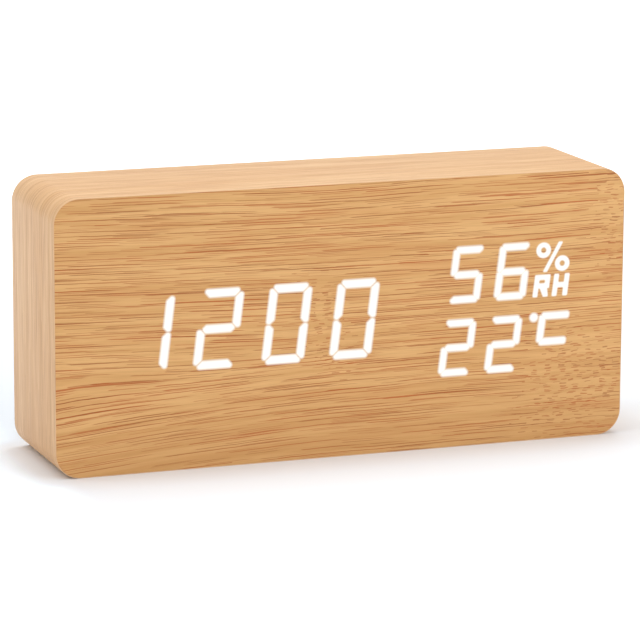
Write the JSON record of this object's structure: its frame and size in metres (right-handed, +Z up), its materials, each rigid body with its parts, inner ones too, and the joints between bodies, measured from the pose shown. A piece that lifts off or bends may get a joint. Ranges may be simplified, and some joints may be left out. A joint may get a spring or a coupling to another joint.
{
  "type": "digital led desk clock",
  "caption": "Block-shaped desk clock with seven-segment digits for time, humidity and temperature shining through a veneered face, and a cover with buttons and a battery bay behind.",
  "frame": {"origin": "middle of the block's underside, on the surface that it stands on", "axes": "+X to the right as one reads the face, +Y from the face to the back, +Z up"},
  "size_m": [0.15, 0.037, 0.069],
  "materials": {
    "wrap_veneer": "pale bamboo-look veneer, satin",
    "face_veneer": "warm bamboo-look veneer with darker streaks, satin",
    "fibreboard": "raw medium-density fibreboard",
    "pine": "sawn pine",
    "black_film": "printed black film",
    "white_plastic": "moulded, white",
    "lit_diffuser": "cast diffuser, milky white",
    "dark_diffuser": "cast diffuser, unlit",
    "led_body": "yellow phosphor over white package",
    "circuit_board": "green solder mask",
    "chip_black": "moulded epoxy",
    "ribbon_grey": "flat PVC cable",
    "black_plastic": "moulded, fine spark texture",
    "button_plastic": "moulded, smooth satin",
    "screw_steel": "zinc plated",
    "black_screws": "black oxide",
    "contact_steel": "nickel-plated spring steel",
    "crystal_can": "plain metal can",
    "cell_jacket": "plain printed jacket, dark grey",
    "red_wire": "PVC insulation, red",
    "black_wire": "PVC insulation, black"
  },
  "bodies": {
    "case": {"buzzer": "chip_black", "case_frame": "fibreboard", "cell_lower": "cell_jacket", "cell_middle": "cell_jacket", "cell_upper": "cell_jacket", "coin_cell": "crystal_can", "coin_cell_holder": "chip_black", "colon_dots": "dark_diffuser", "controller_chip": "chip_black", "corner_blocks": "pine", "display_board": "circuit_board", "display_board_screws": "screw_steel", "display_housing": "white_plastic", "display_housing_screws": "screw_steel", "display_leds": "led_body", "display_mask": "black_film", "display_socket": "white_plastic", "driver_chip": "chip_black", "face_veneer": "face_veneer", "front_board": "fibreboard", "hour_ones_segments": "lit_diffuser", "hour_tens_segments": "lit_diffuser", "humidity_ones_segments": "lit_diffuser", "humidity_sensor": "white_plastic", "humidity_tens_segments": "lit_diffuser", "humidity_unit": "lit_diffuser", "left_bridge_contact": "contact_steel", "main_board": "circuit_board", "main_board_screws": "screw_steel", "main_board_socket": "white_plastic", "microphone": "crystal_can", "minute_ones_segments": "lit_diffuser", "minute_tens_segments": "lit_diffuser", "negative_contact": "contact_steel", "negative_lead": "black_wire", "positive_contact": "contact_steel", "positive_lead": "red_wire", "push_switches": "chip_black", "rear_cover": "black_plastic", "rear_cover_screws": "black_screws", "rear_veneer": "wrap_veneer", "ribbon_cable": "ribbon_grey", "right_bridge_contact": "contact_steel", "side_wrap": "wrap_veneer", "sound_switch_body": "crystal_can", "temperature_ones_segments": "lit_diffuser", "temperature_tens_segments": "lit_diffuser", "temperature_unit": "lit_diffuser", "timing_crystal": "crystal_can", "usb_socket": "crystal_can"},
    "set_button": {"set_button": "button_plastic", "set_switch_plunger": "white_plastic"},
    "up_button": {"up_button": "button_plastic", "up_switch_plunger": "white_plastic"},
    "down_button": {"down_button": "button_plastic", "down_switch_plunger": "white_plastic"},
    "sound_switch": {"sound_switch_knob": "button_plastic"},
    "battery_door": {"battery_door": "black_plastic"}
  },
  "joints": [
    {"name": "set_button_press", "type": "slide", "parent": "case", "child": "set_button", "axis": [0, -1, 0], "range_m": [0, 0.0005], "stiffness_N_per_m": 1200, "springref_m": -0.0004},
    {"name": "up_button_press", "type": "slide", "parent": "case", "child": "up_button", "axis": [0, -1, 0], "range_m": [0, 0.0005], "stiffness_N_per_m": 1200, "springref_m": -0.0004},
    {"name": "down_button_press", "type": "slide", "parent": "case", "child": "down_button", "axis": [0, -1, 0], "range_m": [0, 0.0005], "stiffness_N_per_m": 1200, "springref_m": -0.0004},
    {"name": "sound_switch_slide", "type": "slide", "parent": "case", "child": "sound_switch", "axis": [1, 0, 0], "range_m": [0, 0.002]},
    {"name": "battery_door_hinge", "type": "hinge", "parent": "case", "child": "battery_door", "pos_m": [-0.03285, 0.0175, 0.01735], "axis": [-1, 0, 0], "range_deg": [0, 60]}
  ]
}
